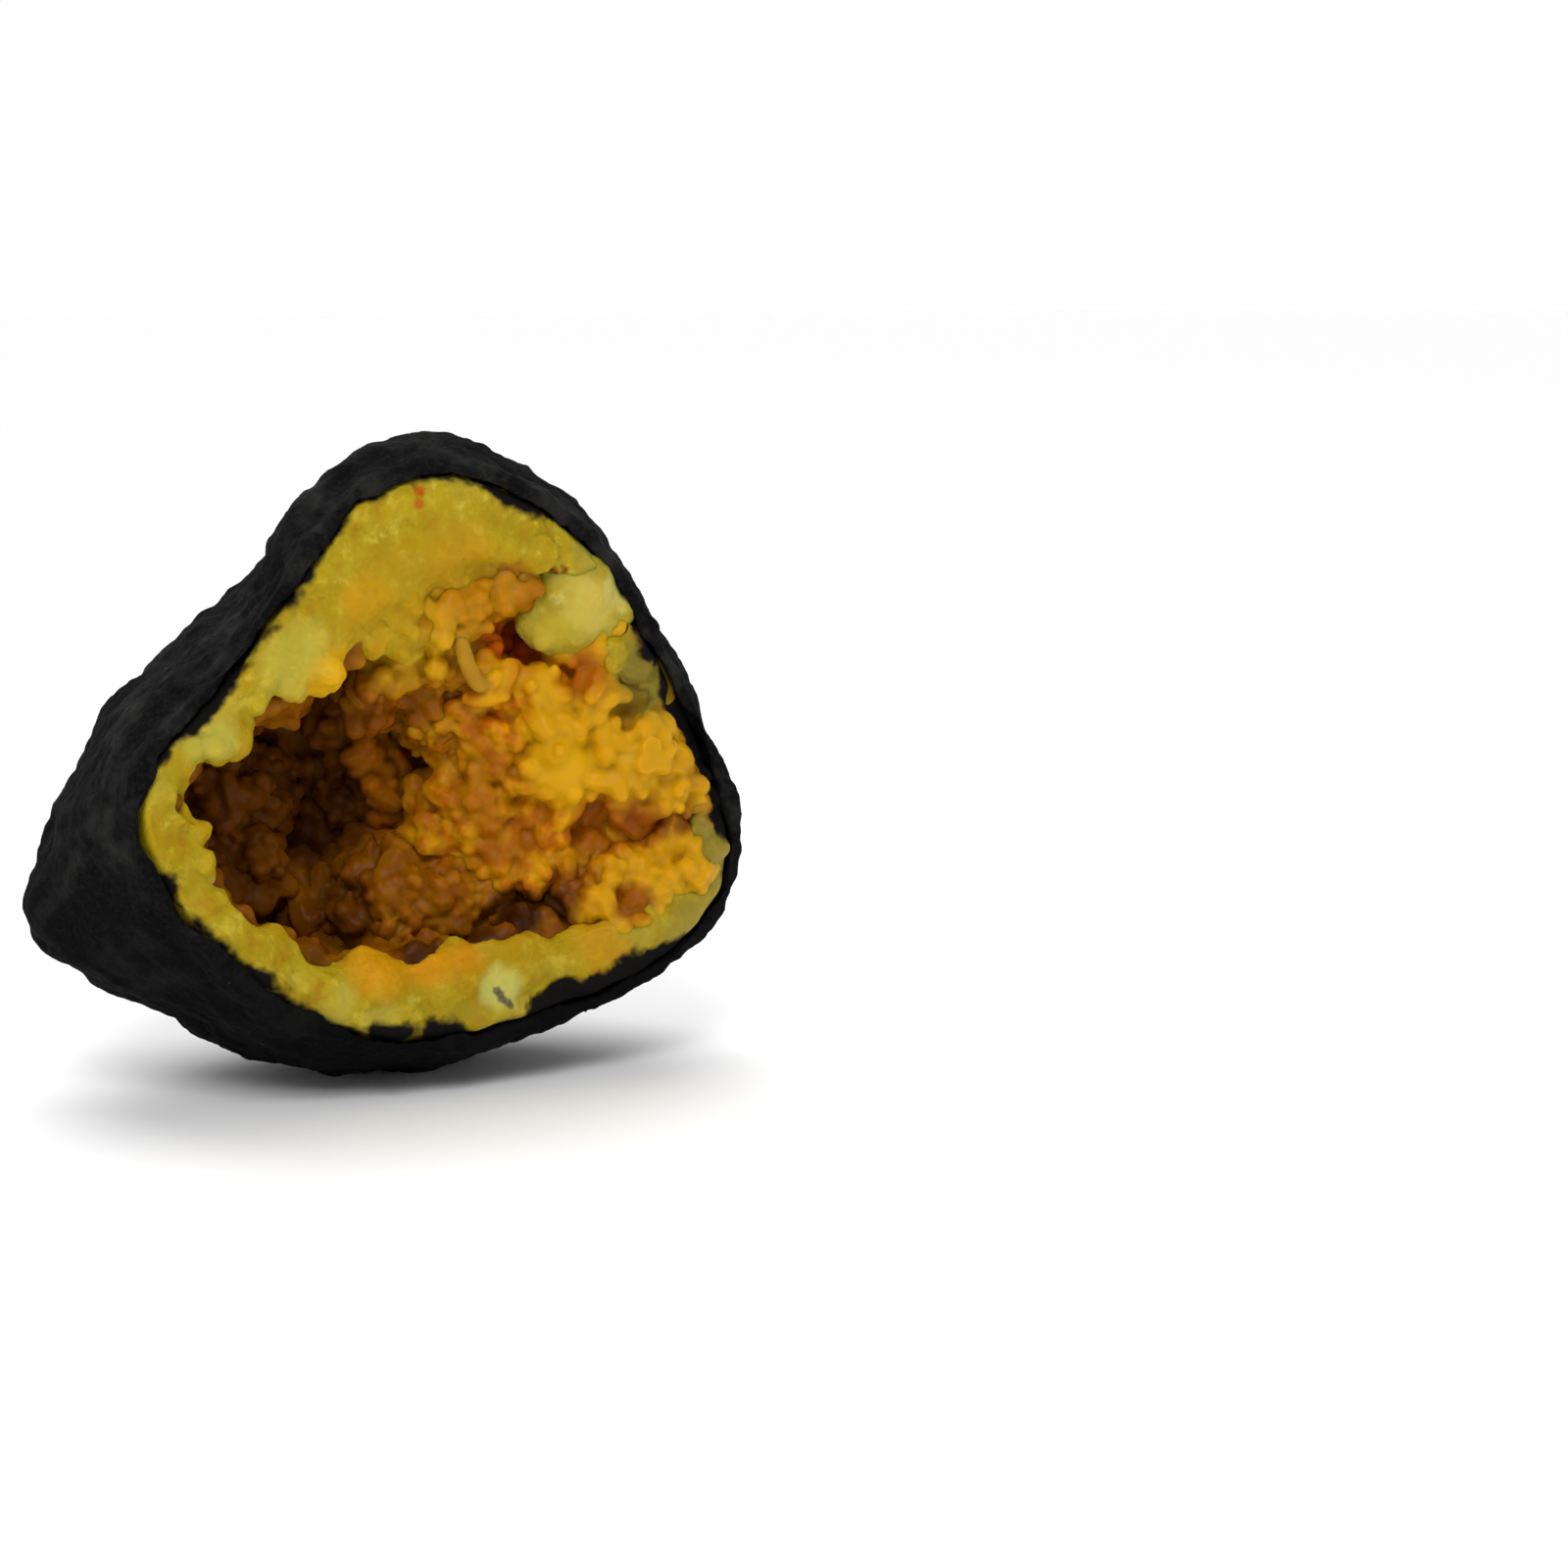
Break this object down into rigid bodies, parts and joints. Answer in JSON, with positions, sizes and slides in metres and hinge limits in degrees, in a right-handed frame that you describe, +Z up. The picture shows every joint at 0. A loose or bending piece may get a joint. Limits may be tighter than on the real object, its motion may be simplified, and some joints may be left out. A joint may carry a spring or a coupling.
{
  "type": "calcite geode",
  "caption": "Half of a broken-open calcite geode: a black crust, a yellow calcite wall and a deep hollow lined with rounded crystal clusters.",
  "frame": {"origin": "bottom centre of the bounding box, on the plane the geode rests on", "axes": "+X to the right and along the broken face's width, +Y from the open broken face towards the closed back, +Z up"},
  "size_m": [0.0822, 0.051, 0.0757],
  "materials": {
    "black_crust": "matte, granular",
    "yellow_calcite": "waxy, translucent",
    "amber_druse": "waxy, translucent",
    "bright_crystal": "waxy, translucent",
    "pale_spar": "waxy, translucent"
  },
  "bodies": {
    "root": {"rind": "black_crust", "calcite_wall": "yellow_calcite", "druse_lining": "amber_druse", "right_boss": "bright_crystal", "right_shelf_cluster": "bright_crystal", "upper_cluster": "amber_druse", "middle_cluster": "amber_druse", "lower_cluster": "amber_druse", "left_cluster": "amber_druse", "pale_spar": "pale_spar"}
  },
  "joints": []
}
